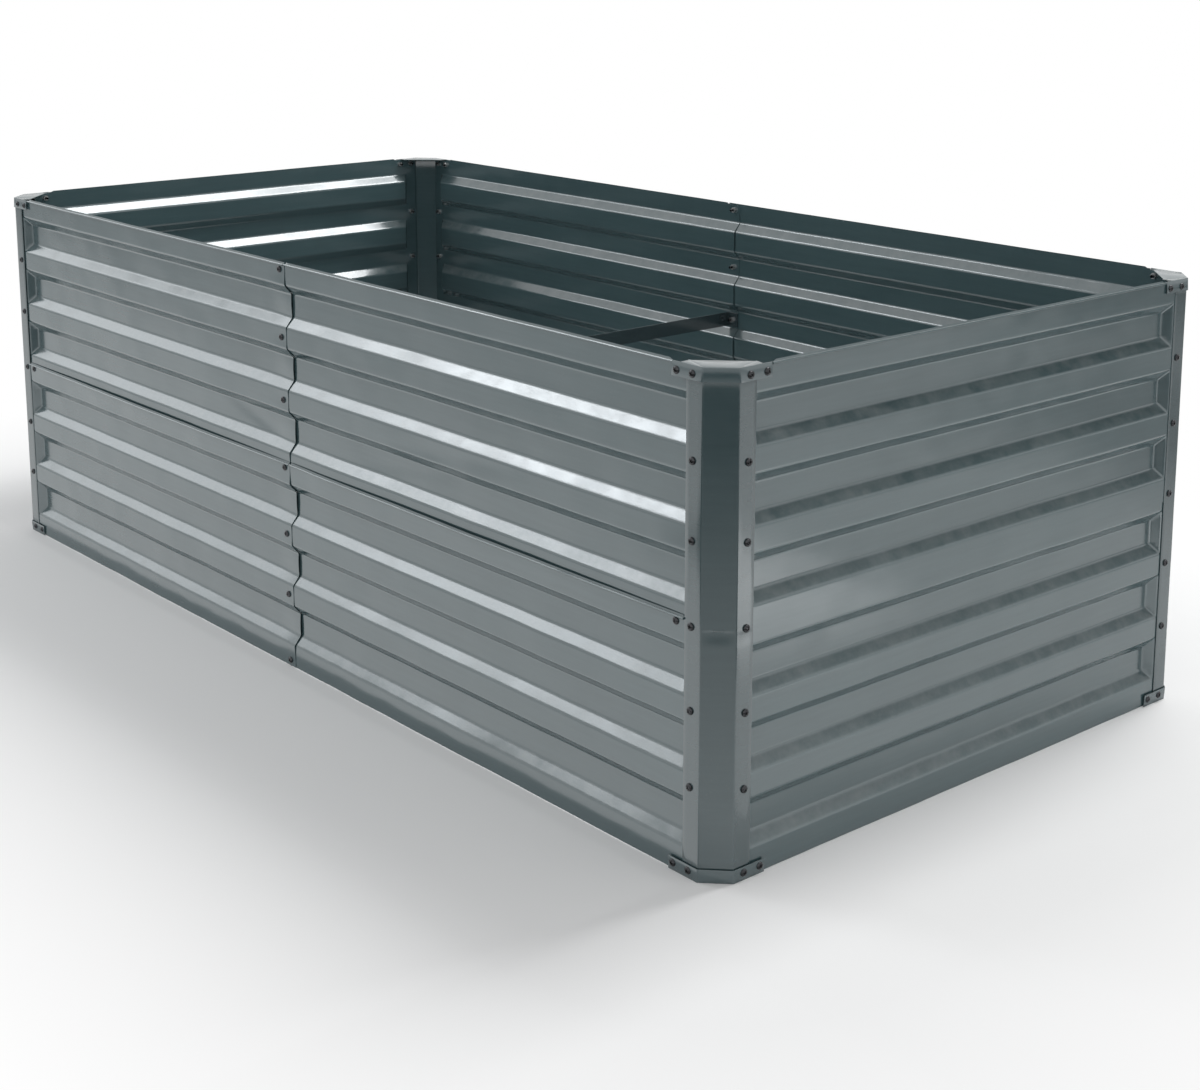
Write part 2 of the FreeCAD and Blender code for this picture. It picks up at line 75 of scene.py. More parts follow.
ROW_BASE = {"lower": 1 * MM, "upper": 296 * MM}
RIB_CENTRES = (65 * MM, 158 * MM, 251 * MM)
SCREW_LEVELS = tuple(z * MM for z in (10, 112.5, 205.5, 306.5, 407.5, 500.5, 600))
LAP_LEVEL = SCREW_LEVELS[3]
FLANGE_SCREWS = 45 * MM  # from the corner
CAP_END = 80 * MM  # from the corner, where the rolled edge can start beside a cap
SEAM_CLEAR = 14 * MM  # past the seam, where the rolled edge under it can start
FLAT = math.radians(4)
# Knocks in a panel, in millimetres: (along the wall, height) at both ends, half width, depth.
KNOCKS = {
    "front_panel_upper_left": (((745, 378), (885, 350), 10, 1.5),),
    "front_panel_upper_right": (((1180, 397), (1476, 418), 9, 0.9),
                                ((1100, 352), (1328, 380), 9, 0.9)),
}


# --- Handling one object at a time -------------------------------------------------------

def focus(*objs):
    """Leaves only these objects selected, or none, the last of them active, in object mode."""
    if bpy.context.object and bpy.context.object.mode != "OBJECT":
        bpy.ops.object.mode_set(mode="OBJECT")
    bpy.ops.object.select_all(action="DESELECT")
    for obj in objs:
        obj.select_set(True)
        bpy.context.view_layer.objects.active = obj


@contextlib.contextmanager
def editing(obj):
    """Edit mode on obj, and object mode again afterwards."""
    focus(obj)
    bpy.ops.object.mode_set(mode="EDIT")
    yield
    bpy.ops.object.mode_set(mode="OBJECT")


def pick_all():
    bpy.ops.mesh.select_all(action="SELECT")


def pick(kind, test):
    """In edit mode, leaves only the parts of that kind selected that pass the test."""
    bpy.ops.mesh.select_mode(type=kind)
    bpy.ops.mesh.select_all(action="DESELECT")
    obj = bpy.context.edit_object
    mesh = bmesh.from_edit_mesh(obj.data)
    parts = {"VERT": mesh.verts, "EDGE": mesh.edges, "FACE": mesh.faces}[kind]
    found = [part for part in parts if test(part)]
    if not found:
        raise RuntimeError(f"nothing to select on {obj.name}")
    for part in found:
        part.select_set(True)
    bmesh.update_edit_mesh(obj.data)


def middle(part):
    """The middle of an edge or face."""
    return sum((v.co for v in part.verts), Vector()) / len(part.verts)


def near(a, b, slack=0.05 * MM):
    return abs(a - b) < slack


def cut(axis, places):
    """In edit mode, cuts the whole mesh across axis 0, 1 or 2 at each place."""
    for place in places:
        point, normal = [0.0] * 3, [0.0] * 3
        point[axis], normal[axis] = place, 1.0
        pick_all()
        bpy.ops.mesh.bisect(plane_co=point, plane_no=normal, threshold=0.02 * MM)


def steps(start, end, pace):
    """Places between start and end, about pace apart, without the ends."""
    count = max(1, round((end - start) / pace))
    return [start + (end - start) * i / count for i in range(1, count)]


def modify(obj, kind, **settings):
    """Adds a modifier with these settings and applies it."""
    focus(obj)
    modifier = obj.modifiers.new(kind.title(), kind)
    for key, value in settings.items():
        setattr(modifier, key, value)
    bpy.ops.object.modifier_apply(modifier=modifier.name)


def thicken(obj, gauge, softened=0.0):
    """Gives a sheet its thickness behind its face, and its cut edges a small bevel."""
    modify(obj, "SOLIDIFY", thickness=gauge, offset=-1.0, use_even_offset=True)
    if softened:
        modify(obj, "BEVEL", width=softened, segments=2, limit_method="ANGLE",
               angle_limit=math.radians(60))


def settle(obj):
    """Puts the object's place into its mesh."""
    focus(obj)
    bpy.ops.object.transform_apply(location=True, rotation=True, scale=True)


def copy_of(obj, name):
    focus(obj)
    bpy.ops.object.duplicate(linked=False)
    twin = bpy.context.object
    twin.name = twin.data.name = name
    return twin


def discard(*objs):
    for obj in objs:
        bpy.data.objects.remove(obj, do_unlink=True)


def upright_plane(name, left, right, bottom, top):
    """A plane that faces -Y, between these limits in x and z."""
    focus()
    bpy.ops.mesh.primitive_plane_add(
        size=1, location=((left + right) / 2, 0, (bottom + top) / 2), rotation=(math.pi / 2, 0, 0))
    obj = bpy.context.object
    obj.name = obj.data.name = name
    obj.scale = (right - left, top - bottom, 1)
    settle(obj)
    return obj


def press(obj, name, depth, weigh, direction="NORMAL", texture=None, level=0.0):
    """Moves the surface by depth where weigh(point) is 1, less where it is less."""
    group = obj.vertex_groups.new(name=name)
    for vertex in obj.data.vertices:
        weight = weigh(vertex.co)
        if weight > 0:
            group.add([vertex.index], min(weight, 1.0), "REPLACE")
    modify(obj, "DISPLACE", strength=depth, mid_level=level, direction=direction,
           vertex_group=name, texture=texture, texture_coords="LOCAL")
    obj.vertex_groups.remove(obj.vertex_groups[name])


def ramp(value, start, end):
    """0 up to start, 1 from end on, smooth between."""
    t = min(max((value - start) / (end - start), 0.0), 1.0)
    return t * t * (3 - 2 * t)


def cloud(name, size):
    texture = bpy.data.textures.new(name, "CLOUDS")
    texture.noise_scale = size
    texture.noise_depth = 1
    return texture


def wall_matrix(wall, along=0.0, inward=0.0, up=0.0):
    x, y, turn = WALLS[wall]
    place = Matrix.Translation((x, y, 0)) @ Matrix.Rotation(math.radians(turn), 4, "Z")
    return place @ Matrix.Translation((along, inward, up))


def corner_matrix(corner):
    """The corner's own place: x runs back along the wall that ends here, y along the next."""
    wall = CORNERS[corner][0]
    length = BED_LENGTH if wall in ("front", "back") else BED_WIDTH
    return wall_matrix(wall, along=length)


def paint(obj, material):
    obj.data.materials.clear()
    obj.data.materials.append(material)


def finish_piece(obj, node, material, angle=25):
    """Smooths the piece's shading, gives it its material, hides the CAD node it stands in for and
    hangs it on the root body.
    """
    focus(obj)
    bpy.ops.object.shade_smooth_by_angle(angle=math.radians(angle))
    paint(obj, material)
    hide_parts(node)
    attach(obj, "root")


# --- Materials ---------------------------------------------------------------------------

class Wiring:
    """Short calls for adding and joining a node tree's nodes."""

    def __init__(self, tree):
        self.tree = tree
        tree.nodes.clear()

    def add(self, kind, **settings):
        node = self.tree.nodes.new(kind)
        for key, value in settings.items():
            setattr(node, key, value)
        return node

    def join(self, source, target):
        self.tree.links.new(source, target)

    def math(self, operation, a, b=0.0, clamp=False):
        node = self.add("ShaderNodeMath", operation=operation, use_clamp=clamp)
        self.feed(node.inputs[0], a)
        self.feed(node.inputs[1], b)
        return node.outputs[0]

    def spread(self, value, low, high, to_low=0.0, to_high=1.0):
        node = self.add("ShaderNodeMapRange", clamp=True)
        for socket, item in zip(node.inputs, (value, low, high, to_low, to_high)):
            self.feed(socket, item)
        return node.outputs[0]

    def blend(self, factor, a, b):
        node = self.add("ShaderNodeMix", data_type="RGBA")
        self.feed(node.inputs[0], factor)
        self.feed(node.inputs[6], a)
        self.feed(node.inputs[7], b)
        return node.outputs[2]

    def noise(self, vector, scale, detail=2.0, roughness=0.5):
        node = self.add("ShaderNodeTexNoise")
        self.join(vector, node.inputs["Vector"])
        node.inputs["Scale"].default_value = scale
        node.inputs["Detail"].default_value = detail
        node.inputs["Roughness"].default_value = roughness
        return node.outputs["Fac"]

    def stretch(self, vector, scale):
        node = self.add("ShaderNodeMapping")
        self.join(vector, node.inputs["Vector"])
        node.inputs["Scale"].default_value = scale
        return node.outputs["Vector"]

    def bump(self, height, strength, distance, surface):
        """Roughens the surface node by this height."""
        node = self.add("ShaderNodeBump")
        set_sockets(node, Strength=strength, Distance=distance)
        self.join(height, node.inputs["Height"])
        self.join(node.outputs["Normal"], surface.inputs["Normal"])

    def show(self, shader):
        self.join(shader, self.add("ShaderNodeOutputMaterial").inputs["Surface"])

    def feed(self, socket, item):
        if isinstance(item, bpy.types.NodeSocket):
            self.join(item, socket)
        else:
            socket.default_value = item


def new_material(name):
    material = bpy.data.materials.new(name)
    material.use_nodes = True
    return material, Wiring(material.node_tree)


def node_group(name, inputs, outputs):
    """An empty shader group with these sockets: its wiring, input node and output node."""
    group = bpy.data.node_groups.new(name, "ShaderNodeTree")
    for direction, sockets in (("INPUT", inputs), ("OUTPUT", outputs)):
        for label, kind in sockets.items():
            group.interface.new_socket(label, in_out=direction, socket_type="NodeSocket" + kind)
    wiring = Wiring(group)
    return group, wiring, wiring.add("NodeGroupInput"), wiring.add("NodeGroupOutput")


def rolled_sheet_group():
    """The unevenness of baked coating on rolled steel: tone, gloss, peel and settled dust."""
    group, w, source, result = node_group(
        "Rolled Sheet",
        {"Colour": "Color", "Worn Colour": "Color", "Dust Colour": "Color",
         "Mottle": "Float", "Gloss": "Float", "Gloss Spread": "Float", "Dust": "Float"},
        {"Colour": "Color", "Roughness": "Float", "Peel": "Float"})
    place = w.add("ShaderNodeTexCoord").outputs["Object"]
    broad = w.noise(place, 5.0, 3.0)
    rolled = w.noise(w.stretch(place, (1.0, 1.0, 14.0)), 9.0, 4.0, 0.6)
    smear = w.noise(place, 34.0, 4.0, 0.62)
    speck = w.noise(place, 620.0, 2.0, 0.7)
    tone = w.math("ADD", w.math("MULTIPLY", broad, 0.5), w.math("MULTIPLY", rolled, 0.5))
    shade = w.math("MULTIPLY", w.spread(tone, 0.35, 0.65), source.outputs["Mottle"])
    colour = w.blend(shade, source.outputs["Colour"], source.outputs["Worn Colour"])
    upward = w.add("ShaderNodeSeparateXYZ")
    w.join(w.add("ShaderNodeNewGeometry").outputs["Normal"], upward.inputs[0])
    settled = w.math("MULTIPLY", w.spread(upward.outputs["Z"], 0.25, 1.0),
                     w.spread(smear, 0.35, 0.7))
    specks = w.math("MULTIPLY", w.spread(speck, 0.66, 0.74), w.spread(broad, 0.4, 0.6))
    dust = w.math("MULTIPLY", w.math("MAXIMUM", settled, w.math("MULTIPLY", specks, 0.5)),
                  source.outputs["Dust"], clamp=True)
    w.join(w.blend(dust, colour, source.outputs["Dust Colour"]), result.inputs["Colour"])
    cloudy = w.math("MULTIPLY", w.spread(smear, 0.3, 0.75), source.outputs["Gloss Spread"])
    gloss = w.math("ADD", source.outputs["Gloss"], cloudy)
    w.join(w.math("ADD", gloss, w.math("MULTIPLY", dust, 0.35), clamp=True),
           result.inputs["Roughness"])
    peel = w.math("ADD", w.noise(place, 380.0, 2.0, 0.5),
                  w.math("MULTIPLY", w.noise(place, 95.0, 1.0), 1.6))
    w.join(peel, result.inputs["Peel"])
    return group


def set_sockets(node, **values):
    for key, value in values.items():
        node.inputs[key.replace("_", " ")].default_value = value


def coated_steel(name, colour, index, look):
    """Gloss coating on galvanised sheet, a little uneven in tone, gloss and surface."""
    material, w = new_material(name)
    sheet = w.add("ShaderNodeGroup", node_tree=bpy.data.node_groups["Rolled Sheet"])
    red, green, blue = colour
    set_sockets(
        sheet, Colour=(red, green, blue, 1),
        Worn_Colour=(red * 1.28 + 0.004, green * 1.26 + 0.004, blue * 1.24 + 0.004, 1),
        Dust_Colour=(0.42, 0.42, 0.40, 1),
        Mottle=look.mottle, Gloss=look.gloss, Gloss_Spread=look.gloss_spread, Dust=look.dust)
    steel = w.add("ShaderNodeBsdfPrincipled")
    set_sockets(steel, IOR=index, Specular_Tint=(*look.glint, 1))
    w.join(sheet.outputs["Colour"], steel.inputs["Base Color"])
    w.join(sheet.outputs["Roughness"], steel.inputs["Roughness"])
    w.bump(sheet.outputs["Peel"], look.peel, 0.04 * MM, steel)
    w.show(steel.outputs[0])
    return material


def plated_metal(name, colour, tarnish, gloss, spread):
    """Plated steel hardware: polished, with cloudy tarnish and fine turning marks."""
    material, w = new_material(name)
    place = w.add("ShaderNodeTexCoord").outputs["Object"]
    clouds = w.noise(place, 240.0, 4.0, 0.6)
    marks = w.noise(w.stretch(place, (1.0, 1.0, 5.0)), 1500.0, 2.0, 0.5)
    steel = w.add("ShaderNodeBsdfPrincipled")
    set_sockets(steel, Metallic=1.0)
    w.join(w.blend(w.spread(clouds, 0.35, 0.7), (*colour, 1), (*tarnish, 1)),
           steel.inputs["Base Color"])
    w.join(w.spread(clouds, 0.3, 0.75, gloss, gloss + spread), steel.inputs["Roughness"])
    w.bump(marks, 0.25, 0.02 * MM, steel)
    w.show(steel.outputs[0])
    return material


def floor_material(name, colour, white_from, white_to):
    """Matt studio floor with a faint unevenness, white to the eye far from the bed."""
    material, w = new_material(name)
    place = w.add("ShaderNodeTexCoord").outputs["Object"]
    surface = w.add("ShaderNodeBsdfPrincipled")
    set_sockets(surface, Roughness=0.9, Specular_IOR_Level=0.2)
    darker = tuple(c * 0.985 for c in colour)
    w.join(w.blend(w.noise(place, 3.0), (*colour, 1), (*darker, 1)),
           surface.inputs["Base Color"])
    split = w.add("ShaderNodeSeparateXYZ")
    w.join(place, split.inputs[0])
    squares = []
    for axis, half in (("X", BED_LENGTH / 2), ("Y", BED_WIDTH / 2)):
        past = w.math("SUBTRACT", w.math("ABSOLUTE", split.outputs[axis]), half)
        squares.append(w.math("POWER", w.math("MAXIMUM", past, 0.0), 2.0))
    away = w.math("SQRT", w.math("ADD", *squares))
    rays = w.add("ShaderNodeLightPath").outputs
    mixed = w.add("ShaderNodeMixShader")
    w.join(w.math("MULTIPLY", w.spread(away, white_from, white_to), rays["Is Camera Ray"]),
           mixed.inputs[0])
    w.join(surface.outputs[0], mixed.inputs[1])
    w.join(w.add("ShaderNodeEmission").outputs[0], mixed.inputs[2])
    w.show(mixed.outputs[0])
    return material


def card_material(name, along, start, end, dark, light):
    """Glow of a studio card, from dark to light along a direction."""
    material, w = new_material(name)
    reach = w.add("ShaderNodeVectorMath", operation="DOT_PRODUCT")
    w.join(w.add("ShaderNodeTexCoord").outputs["Object"], reach.inputs[0])
    reach.inputs[1].default_value = along
    glow = w.add("ShaderNodeEmission")
    w.join(w.spread(reach.outputs["Value"], start, end, dark, light), glow.inputs["Strength"])
    w.show(glow.outputs[0])
    return material


def seen_rays(w, rays):
    """1 for rays from the camera and for reflected and refracted ones."""
    return w.math("MAXIMUM", rays["Is Camera Ray"],
                  w.math("MAXIMUM", rays["Is Glossy Ray"], rays["Is Transmission Ray"]))


# --- Settings ----------------------------------------------------------------------------

def length_of(name, description, millimetres):
    return bpy.props.FloatProperty(
        name=name, description=description, default=millimetres * MM, unit="LENGTH", precision=4)


def share_of(name, description, value):
    return bpy.props.FloatProperty(
        name=name, description=description, default=value, min=0.0, max=1.0, subtype="FACTOR")


def colour_of(name, description, value):
    return bpy.props.FloatVectorProperty(
        name=name, description=description, default=value, size=3, min=0.0, max=1.0,
        subtype="COLOR")


class CoatingSettings(bpy.types.PropertyGroup):
    panel_colour: colour_of("Panels", "Coating of the ribbed panels", (0.050, 0.086, 0.094))
    # The posts' colour is darker than the panels'. Part of that is their own darker coating, and
    # part is painted shade for the chamfer, which the even ambient light leaves too bright.
    post_colour_and_shade: colour_of("Posts", "Coating of the corner posts", (0.030, 0.058, 0.064))
    bracket_colour: colour_of("Caps and feet", "Coating of the brackets", (0.040, 0.072, 0.080))
    brace_colour: colour_of("Braces", "Coating of the cross braces", (0.030, 0.045, 0.050))
    gloss: share_of("Roughness", "Roughness of the clean coating", 0.14)
    gloss_spread: share_of("Roughness spread", "How much duller the coating is in places", 0.05)
    panel_index: bpy.props.FloatProperty(
        name="Panel gloss", description="Refractive index of the panels' coating", default=2.05)
    post_index: bpy.props.FloatProperty(
        name="Post gloss", description="Refractive index of the posts' coating", default=2.1)
    glint: colour_of("Glint", "Tint of the coating's reflections", (0.96, 0.985, 1.0))
    mottle: share_of("Mottle", "How far the tone wanders", 0.5)
    peel: share_of("Peel", "Depth of the coating's orange peel", 0.10)
    dust: share_of("Dust", "How much dust has settled on faces that look up", 0.22)


class PanelSettings(bpy.types.PropertyGroup):
    height: length_of("Height", "Height of one panel", 313)
    gauge: length_of("Sheet", "Thickness of the panel's sheet", 0.6)
    end_gap: length_of("End gap", "From the corner to the panel's end", 34)
    rib_start: length_of("Rib start", "From the corner to the ribs' closed ends", 57)
    rib_mouth: length_of("Rib mouth", "Width of a rib at the face", 62)
    rib_depth: length_of("Rib depth", "Depth of a rib", 12.5)
    rib_run: length_of("Rib slope", "Width of a rib's slope", 14)
    end_run: length_of("End slope", "Width of the slope at a rib's closed end", 10)
    crease: length_of("Crease", "Width of the bend on each side of a crease", 2.2)
    seam_overlap: length_of("Seam overlap", "Overlap each side of the middle seam", 13)
    first_layer: length_of("First layer", "Depth of the outermost panel's face", 1.8)
    grid: length_of("Grid", "Width of the mesh's columns", 10)
    waves: length_of("Waves", "Height of the slack sheet's waves", 2.8)
    lap_bow: length_of("Lap bow", "How far a lap edge bows out between screws", 3.2)
    seam_gape: length_of("Seam gape", "How far a seam edge lifts between screws", 2.6)


class PostSettings(bpy.types.PropertyGroup):
    fold_leg: length_of("Fold", "From the corner to the post's fold", 29.91)
    flange_leg: length_of("Flange", "From the corner to the flange's edge", 56)
    depth: length_of("Depth", "Depth of the post's face", 1.0)
    gauge: length_of("Sheet", "Thickness of the post's sheet", 0.8)
    fold_radius: length_of("Fold width", "Width of the bend on each side of a fold", 1.3)
    dent: length_of("Dent", "Depth of the dents at half height on the near post", 0.8)


class BracketSettings(bpy.types.PropertyGroup):
    height: length_of("Height", "Height of the skirt", 17)
    arm_leg: length_of("Arm", "From the corner to the arm's end", 79)
    fold_leg: length_of("Fold", "From the corner to the fold", 29.5)
    plate_leg: length_of("Plate", "From the corner to the plate's end", 66)
    plate_depth: length_of("Plate depth", "Width of the plate at its ends", 14)
    gauge: length_of("Sheet", "Thickness of the bracket's sheet", 1.0)
    flare: length_of("Flare", "How far the skirt's free edge stands off", 1.0)


class HardwareSettings(bpy.types.PropertyGroup):
    head_radius: length_of("Head radius", "Radius of a screw's head", 4.75)
    head_rim: length_of("Head rim", "Height of the head's straight rim", 1.2)
    head_height: length_of("Head height", "Height of the head", 3.2)
    shank_radius: length_of("Shank radius", "Radius of the shank", 2.5)
    shank_length: length_of("Shank length", "Length of the shank behind the head", 11)
    inner_leg: length_of("Inner leg", "From the corner to the flange's screws", 45)
    outer_leg: length_of("Outer leg", "From the corner to the arm's screws", 71)
    nickel: colour_of("Screws", "Dark nickel of the screws", (0.070, 0.072, 0.076))
    zinc: colour_of("Nuts", "Zinc of the nuts", (0.55, 0.56, 0.57))


class StageSettings(bpy.types.PropertyGroup):
    floor_colour: colour_of("Floor", "Colour of the studio floor", (0.86, 0.86, 0.86))
    lens: bpy.props.FloatProperty(
        name="Lens", description="Focal length in millimetres", default=59.19)
    ambient: bpy.props.FloatProperty(
        name="Ambient", description="Strength of the light from all round", default=0.62)
    key: bpy.props.FloatProperty(
        name="Key light", description="Power of the large light behind, in watts", default=130.0)
    strip: bpy.props.FloatProperty(
        name="Strip light", description="Power of the narrow soft box, in watts", default=14.5)
    fade: bpy.props.FloatProperty(
        name="Fade light", description="Power of the strip's dimmer end, in watts", default=2.6)
    front: bpy.props.FloatProperty(
        name="Front light", description="Power of the wide soft box, in watts", default=8.3)
    left: bpy.props.FloatProperty(
        name="Left light", description="Power of the dim soft box, in watts", default=5.8)


# --- Stage -------------------------------------------------------------------------------

CAMERA_PLACE = (2.417, -1.907, 1.090)
CAMERA_TURN = 49.62
CAMERA_DROP = 11.03
CAMERA_SHIFT = -0.2
FLOOR_FADE = (0.28, 0.8)

# Soft boxes in one plane at the left, where the front wall's slopes reflect them:
# (to the right, down) from the plane's middle, size, and turn in the plane in degrees.
BOX_PLACE, BOX_AIM, BOX_TURN = (-2.9, -2.6, 2.1), (0.2, -0.457, 0.35), 40
BOX_TINT = (0.94, 0.97, 1.0)
SOFT_BOXES = {
    "Strip": ((0.45, -1.25), (1.20, 0.58), 9),
    "Fade": ((-0.42, -1.10), (0.54, 0.46), 9),
    "Front": ((0.25, -0.55), (1.60, 0.56), 0),
    "Left": ((-1.17, -0.62), (1.15, 0.95), 0),
}
# Cards: place, size, the way they face, and their glow, as the direction in which it
# changes, the distances where the change starts and ends, and the glow at both.
UP = (0, 0, 1)
CARDS = {
    "end_card": ((2.45, 2.6, 2.35), (2.2, 2.6), (0, -1, 0), (0.889, 0, -0.457), 0.55, 1.6, 0, 0.75),
    "left_card": ((0.45, -2.27, 0.004), (1.1, 2.0), UP, (0, -1, 0), 1.0, 1.6, 0.35, 0.06),
    "foot_card": ((-2.07, -1.165, 0.003), (5.88, 1.37), UP, (0, -1, 0), 1.2, 1.85, 1.12, 0.85),
    "right_card": ((1.34, 0.75, 0.003), (0.64, 2.1), UP, (1, 0, 0), 1.35, 1.66, 1.0, 0.8),
    "far_card": ((2.9, 3.2, 0.003), (3.0, 2.0), UP, (0, 1, 0), 2.2, 3.0, 0.85, 0.3),
    "flange_card": ((1.65, 0.24, 0.005), (0.6, 0.42), UP, (1, 0, 0), 1.35, 1.6, 1.2, 2.1),
    "corner_card": ((1.65, 1.7, 0.004), (1.3, 1.1), UP, (0, 1, 0), 1.15, 1.6, 0.9, 0.45),
    "rib_end_card": ((2.4, -0.25, 0.006), (1.8, 0.6), UP, (1, 0, 0), 1.5, 1.9, 0.3, 0.12),
    "front_card": ((2.27, -1.90, 0.005), (2.5, 2.7), UP, (0.707, -0.707, 0), 1.15, 2.9, 0.75, 0.05),
}


def area_light(name, place, target, size, power, colour=(1, 1, 1)):
    light = bpy.data.lights.new(name, "AREA")
    light.shape = "RECTANGLE"
    light.size, light.size_y = size
    light.energy = power
    light.color = colour
    obj = bpy.data.objects.new(name, light)
    bpy.context.scene.collection.objects.link(obj)
    aim = Vector(target) - Vector(place)
    obj.matrix_world = Matrix.Translation(place) @ aim.to_track_quat("-Z", "Y").to_matrix().to_4x4()
    return obj


def studio_world(ambient):
    """White to the camera and in reflections, and a softer even light on matt surfaces."""
    world = bpy.data.worlds.new("Studio")
    world.use_nodes = True
    w = Wiring(world.node_tree)
    rays = w.add("ShaderNodeLightPath").outputs
    seen = seen_rays(w, rays)
    sky = w.add("ShaderNodeBackground")
    sky.inputs["Color"].default_value = (1, 1, 1, 1)
    w.join(w.spread(seen, 0.0, 1.0, ambient, 1.0), sky.inputs["Strength"])
    w.join(sky.outputs[0], w.add("ShaderNodeOutputWorld").inputs["Surface"])
    return world


def card(name, place, size, facing, material):
    """A studio card that only reflections see."""
    focus()
    bpy.ops.mesh.primitive_plane_add(size=1)
    obj = bpy.context.object
    obj.name = obj.data.name = name
    turn = Vector(facing).to_track_quat("Z", "Y").to_matrix().to_4x4()
    obj.matrix_world = Matrix.Translation(place) @ turn @ Matrix.Diagonal((*size, 1, 1))
    settle(obj)
    obj.data.materials.append(material)
    obj.visible_camera = False
    obj.visible_diffuse = False
    obj.visible_shadow = False


class GARDENBED_OT_stage(bpy.types.Operator):
    """Sets up the pale floor, the soft lights, the shading cards and the camera"""
    bl_idname = "garden_bed.stage"
    bl_label = "Set up the stage"

    def execute(self, context):
        look = context.scene.garden_bed_stage
        focus()
        bpy.ops.mesh.primitive_plane_add(size=60)
        floor = context.object
        floor.name = floor.data.name = "studio_floor"
        floor.data.materials.append(
            floor_material("Studio Floor", tuple(look.floor_colour), *FLOOR_FADE))
        context.scene.world = studio_world(look.ambient)
        area_light("Key", (0.75, 2.4, 4.0), (0.1, 0, 0.2), (1.5, 3.2), look.key)
        for name, ((side, down), size, turn) in SOFT_BOXES.items():
            box = area_light(name, BOX_PLACE, BOX_AIM, size, getattr(look, name.lower()), BOX_TINT)
            box.matrix_world = (box.matrix_world @ Matrix.Rotation(math.radians(BOX_TURN), 4, "Z")
                                @ Matrix.Translation((side, -down, 0))
                                @ Matrix.Rotation(math.radians(turn), 4, "Z"))
        for name, (place, size, facing, *glow) in CARDS.items():
            title = name.replace("_", " ").title()
            card(name, place, size, facing, card_material(title, *glow))
        lens = bpy.data.cameras.new("Camera")
        lens.sensor_width = 36
        lens.lens = look.lens
        lens.shift_y = CAMERA_SHIFT
        lens.clip_end = 200
        camera = bpy.data.objects.new("Camera", lens)
        context.scene.collection.objects.link(camera)
        camera.location = CAMERA_PLACE
        camera.rotation_euler = (math.radians(90 - CAMERA_DROP), 0, math.radians(CAMERA_TURN))
        context.scene.camera = camera
        context.scene.view_settings.view_transform = "Standard"
        return {"FINISHED"}


# --- Panels ------------------------------------------------------------------------------

def crease_cuts(lines, crease):
    """Cuts close to both sides of each crease, which keep its bend crisp."""
    return [line + side * (crease + 0.5 * MM) for line in lines for side in (-1, 1)]


def ribbed_blank(name, left, right, closed, look, widen=0.0):
    """A flat sheet with three pressed ribs, facing -Y, its bottom edge at z 0.

    closed names the ends, "left" or "right", where the ribs stop short and slope out."""
    bead_centre = look.height - 1.0 * MM
    blank = upright_plane(name, left, right, 0, bead_centre)
    inset = look.rib_start - look.end_gap
    ends = [(left + inset, 1)] if "left" in closed else []
    ends += [(right - inset, -1)] if "right" in closed else []
    mouths = [(c - look.rib_mouth / 2 - widen, c + look.rib_mouth / 2 + widen)
              for c in RIB_CENTRES]
    low = left + inset if "left" in closed else left
    high = right - inset if "right" in closed else right
    with editing(blank):
        cut(2, [z for mouth in mouths for z in mouth])
        cut(0, [x for x, side in ends])
        pick("FACE", lambda face: low < middle(face).x < high
             and any(a < middle(face).z < b for a, b in mouths))
        bpy.ops.mesh.inset(thickness=look.rib_run, depth=-look.rib_depth, use_boundary=False)
        for x, side in ends:
            floor_end = x + side * look.rib_run
            pick("VERT", lambda v: near(v.co.x, floor_end) and v.co.y > look.rib_depth / 2)
            bpy.ops.transform.translate(value=(side * (look.end_run - look.rib_run), 0, 0))
        pick("EDGE", lambda edge: not edge.is_boundary and edge.calc_face_angle(0) > FLAT)
        bpy.ops.mesh.bevel(offset=look.crease, offset_type="OFFSET", segments=4, profile=0.5,
                           affect="EDGES", clamp_overlap=False)
        floor_lines = [(a + look.rib_run, b - look.rib_run) for a, b in mouths]
        creases = [z for pair in mouths + floor_lines for z in pair]
        floors = [z for a, b in floor_lines for z in steps(a, b, 7 * MM)]
        edges = [0.0] + [z for mouth in mouths for z in mouth] + [bead_centre]
        flats = [z for a, b in zip(edges[::2], edges[1::2]) for z in steps(a, b, 7 * MM)]
        cut(2, crease_cuts(creases, look.crease) + floors + flats)
        end_creases = [x + side * slope for x, side in ends for slope in (0, look.end_run)]
        cut(0, crease_cuts(end_creases, look.crease) + steps(low, high, look.grid)
            + steps(left, low, 8 * MM) + steps(high, right, 8 * MM))
    return blank


def roll_rim(panel, start, end, top, outwards=True, radius=1.5 * MM):
    """Rolls the top edge into a small bead between start and end."""
    with editing(panel):
        cut(0, [x for x in (start, end) if min(v.co.x for v in panel.data.vertices) < x
                < max(v.co.x for v in panel.data.vertices)])
        pick("EDGE", lambda edge: edge.is_boundary and start < middle(edge).x < end
             and all(near(v.co.z, top) for v in edge.verts))
        side = -1 if outwards else 1
        bpy.ops.mesh.spin(steps=8, angle=-side * math.radians(315), center=(0, side * radius, top),
                          axis=(1, 0, 0))


